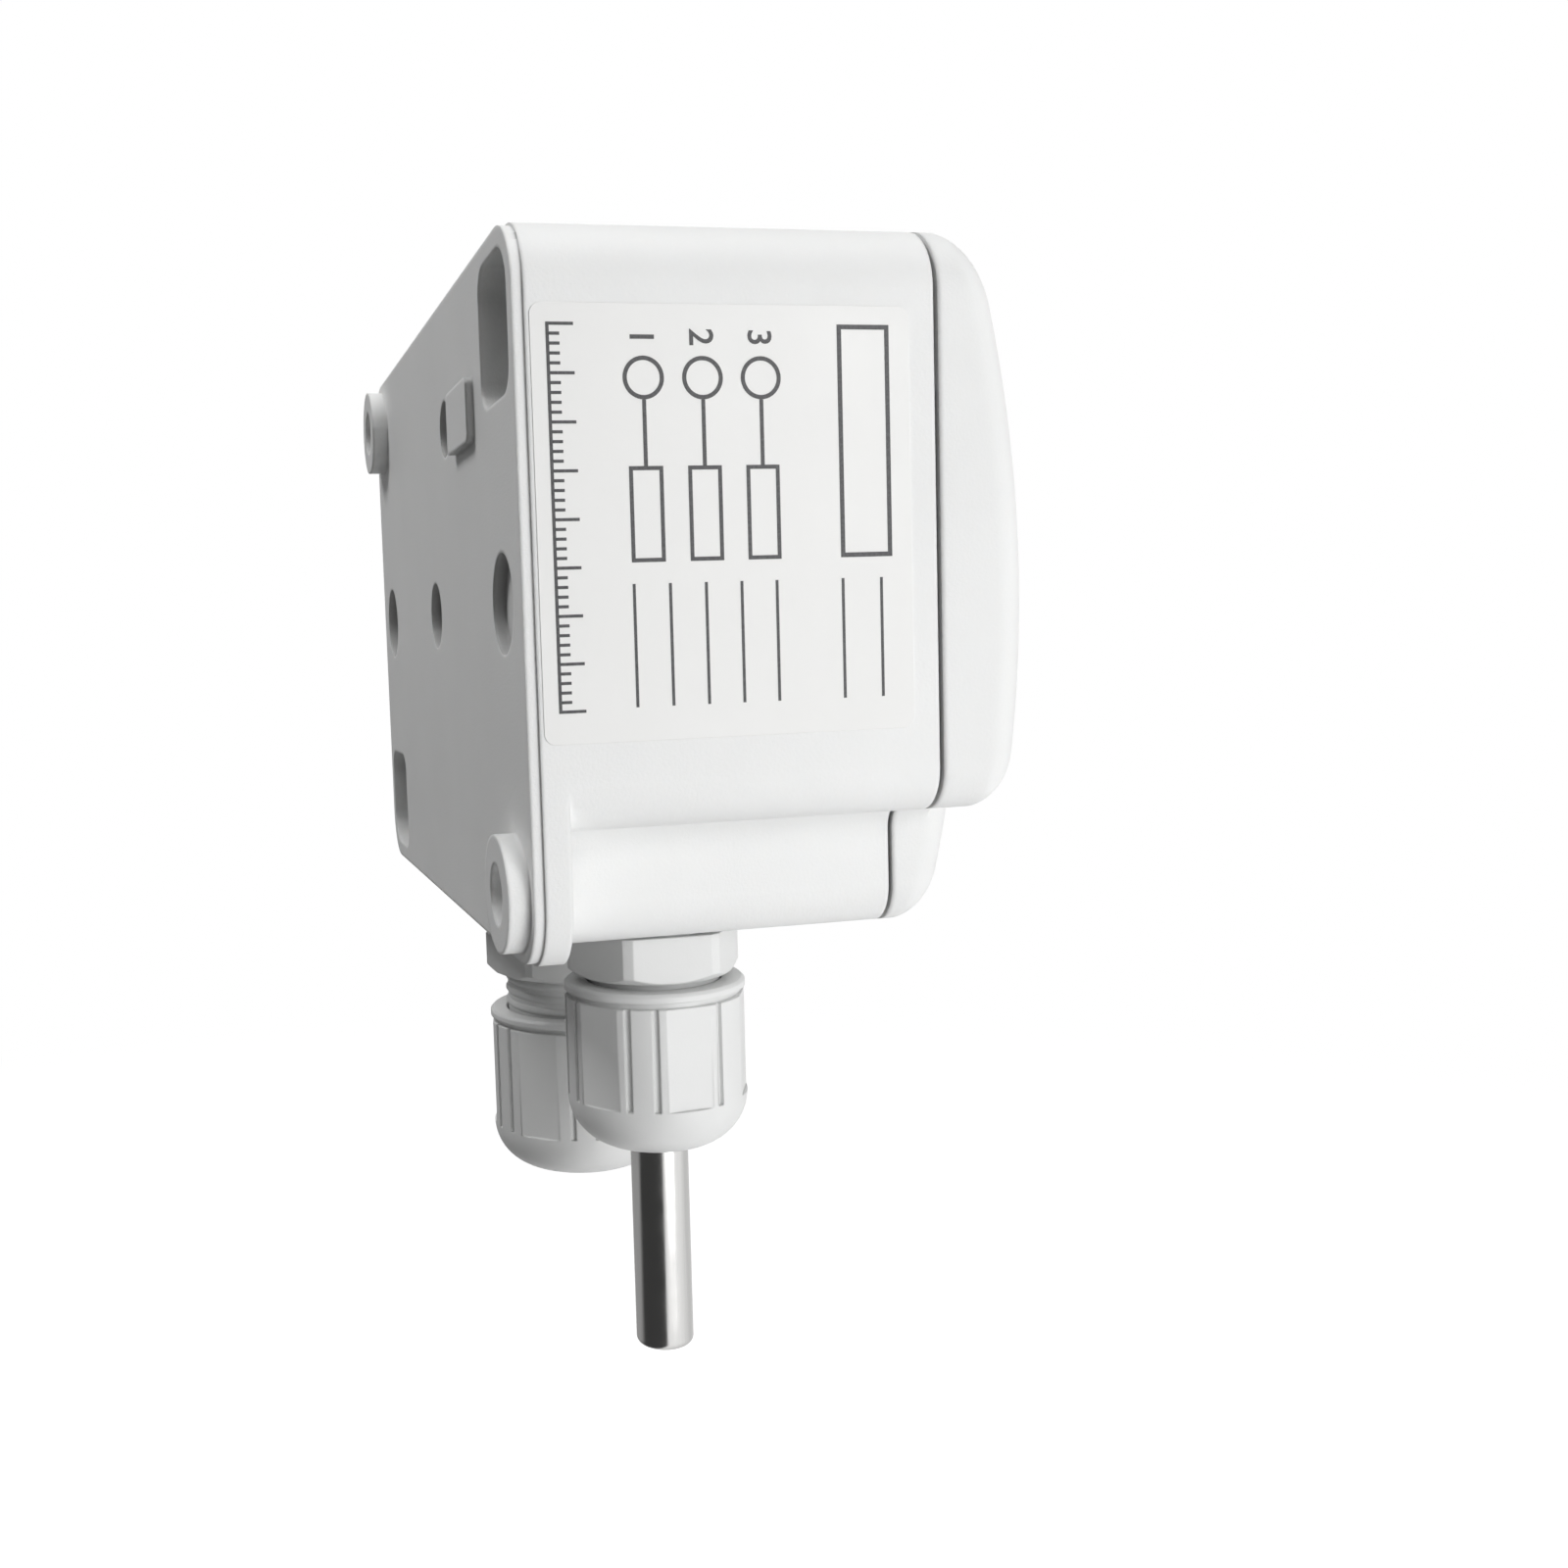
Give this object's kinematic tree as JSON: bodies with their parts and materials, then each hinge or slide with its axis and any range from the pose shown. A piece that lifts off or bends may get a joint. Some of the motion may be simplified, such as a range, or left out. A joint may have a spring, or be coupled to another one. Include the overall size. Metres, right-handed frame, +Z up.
{
  "type": "wall temperature sensor",
  "caption": "Wall temperature sensor: plastic housing with domed lift-off cover, notched fixing ears, and a steel probe and a cable gland underneath",
  "frame": {"origin": "midpoint between the two wall-screw holes, in the plane where the ear bosses meet the wall", "axes": "+Z up the wall, +Y into the wall, +X to the right for someone facing the sensor; glands and probe point down"},
  "size_m": [0.092, 0.0491, 0.1091],
  "materials": {
    "housing": "fine matt",
    "cover": "fine matt",
    "gland": "satin",
    "claw": "satin",
    "rubber": "matt",
    "probe": "brushed along the tube",
    "potting": "matt",
    "element": "glazed",
    "lead_red": "satin",
    "lead_white": "satin",
    "board": "lacquered",
    "terminal": "satin",
    "connector": "satin",
    "steel": "plated",
    "contact": "plain",
    "switch_red": "satin",
    "switch_white": "satin",
    "trimmer": "satin",
    "chip": "matt",
    "can": "drawn",
    "coil": "matt",
    "lamp": "clear tinted"
  },
  "bodies": {
    "housing": {"housing_base": "housing", "probe_gland_body": "gland", "probe_gland_washer": "rubber", "cable_gland_body": "gland", "cable_gland_washer": "rubber", "probe_tube": "probe", "probe_potting": "potting", "probe_plug": "rubber", "sensor_element": "element", "probe_lead_1": "lead_red", "probe_lead_2": "lead_white", "circuit_board": "board", "terminal_block": "terminal", "probe_connector": "connector", "terminal_contact_1": "contact", "terminal_contact_2": "contact", "terminal_contact_3": "contact", "range_switch": "switch_red", "trimmer_body": "trimmer", "main_chip": "chip", "supply_chip": "chip", "capacitor": "can", "supply_coil": "coil", "status_lamp": "lamp"},
    "cover": {"front_cover": "cover", "cover_seal": "rubber", "screw_ring_1": "rubber", "screw_ring_2": "rubber"},
    "cover_screw_1": {"cover_screw_1": "cover"},
    "cover_screw_2": {"cover_screw_2": "cover"},
    "probe_claw": {"probe_gland_claw": "claw", "probe_gland_insert": "rubber"},
    "probe_nut": {"probe_gland_nut": "gland"},
    "cable_claw": {"cable_gland_claw": "claw", "cable_gland_insert": "rubber"},
    "cable_nut": {"cable_gland_nut": "gland"},
    "trimmer_rotor": {"trimmer_rotor": "switch_white"},
    "terminal_screw_1": {"terminal_screw_1": "steel"},
    "terminal_cage_1": {"terminal_cage_1": "steel"},
    "range_lever_1": {"range_lever_1": "switch_white"},
    "terminal_screw_2": {"terminal_screw_2": "steel"},
    "terminal_cage_2": {"terminal_cage_2": "steel"},
    "range_lever_2": {"range_lever_2": "switch_white"},
    "terminal_screw_3": {"terminal_screw_3": "steel"},
    "terminal_cage_3": {"terminal_cage_3": "steel"},
    "range_lever_3": {"range_lever_3": "switch_white"}
  },
  "joints": [
    {"name": "cover_lift", "type": "slide", "parent": "housing", "child": "cover", "axis": [0, -1, 0], "range_m": [0, 0.03]},
    {"name": "cover_screw_1_turn", "type": "hinge", "parent": "cover", "child": "cover_screw_1", "pos_m": [-0.03775, -0.04, 0.02375], "axis": [0, 1, 0], "range_deg": [0, 90]},
    {"name": "cover_screw_2_turn", "type": "hinge", "parent": "cover", "child": "cover_screw_2", "pos_m": [0.03775, -0.04, -0.02375], "axis": [0, 1, 0], "range_deg": [0, 90]},
    {"name": "probe_claw_travel", "type": "slide", "parent": "housing", "child": "probe_claw", "axis": [0, 0, -1], "range_m": [0, 0.00225]},
    {"name": "probe_nut_turn", "type": "hinge", "parent": "probe_claw", "child": "probe_nut", "pos_m": [-0.021, -0.0197, -0.05], "axis": [0, 0, -1], "range_deg": [0, 541]},
    {"name": "cable_claw_travel", "type": "slide", "parent": "housing", "child": "cable_claw", "axis": [0, 0, -1], "range_m": [-0.003, 0.00075]},
    {"name": "cable_nut_turn", "type": "hinge", "parent": "cable_claw", "child": "cable_nut", "pos_m": [0.012, -0.0197, -0.05], "axis": [0, 0, -1], "range_deg": [-721, 181]},
    {"name": "terminal_screw_1_turn", "type": "hinge", "parent": "housing", "child": "terminal_screw_1", "pos_m": [0.00692, -0.022, -0.0113], "axis": [0, 1, 0], "range_deg": [0, 865]},
    {"name": "terminal_cage_1_rise", "type": "slide", "parent": "housing", "child": "terminal_cage_1", "axis": [0, -1, 0], "range_m": [0, 0.0012]},
    {"name": "terminal_screw_2_turn", "type": "hinge", "parent": "housing", "child": "terminal_screw_2", "pos_m": [0.012, -0.022, -0.0113], "axis": [0, 1, 0], "range_deg": [0, 865]},
    {"name": "terminal_cage_2_rise", "type": "slide", "parent": "housing", "child": "terminal_cage_2", "axis": [0, -1, 0], "range_m": [0, 0.0012]},
    {"name": "terminal_screw_3_turn", "type": "hinge", "parent": "housing", "child": "terminal_screw_3", "pos_m": [0.01708, -0.022, -0.0113], "axis": [0, 1, 0], "range_deg": [0, 865]},
    {"name": "terminal_cage_3_rise", "type": "slide", "parent": "housing", "child": "terminal_cage_3", "axis": [0, -1, 0], "range_m": [0, 0.0012]},
    {"name": "range_lever_1_slide", "type": "slide", "parent": "housing", "child": "range_lever_1", "axis": [0, 0, 1], "range_m": [0, 0.0016]},
    {"name": "range_lever_2_slide", "type": "slide", "parent": "housing", "child": "range_lever_2", "axis": [0, 0, 1], "range_m": [0, 0.0016]},
    {"name": "range_lever_3_slide", "type": "slide", "parent": "housing", "child": "range_lever_3", "axis": [0, 0, 1], "range_m": [0, 0.0016]},
    {"name": "trimmer_turn", "type": "hinge", "parent": "housing", "child": "trimmer_rotor", "pos_m": [0.002, -0.016, 0.008], "axis": [0, 1, 0], "range_deg": [-130, 130]}
  ],
  "couplings": [
    {"joint": "probe_nut_turn", "follows": "probe_claw_travel", "rad_per_m": 4188.8},
    {"joint": "cable_nut_turn", "follows": "cable_claw_travel", "rad_per_m": 4188.8},
    {"joint": "terminal_screw_1_turn", "follows": "terminal_cage_1_rise", "rad_per_m": 12566},
    {"joint": "terminal_screw_2_turn", "follows": "terminal_cage_2_rise", "rad_per_m": 12566},
    {"joint": "terminal_screw_3_turn", "follows": "terminal_cage_3_rise", "rad_per_m": 12566}
  ]
}
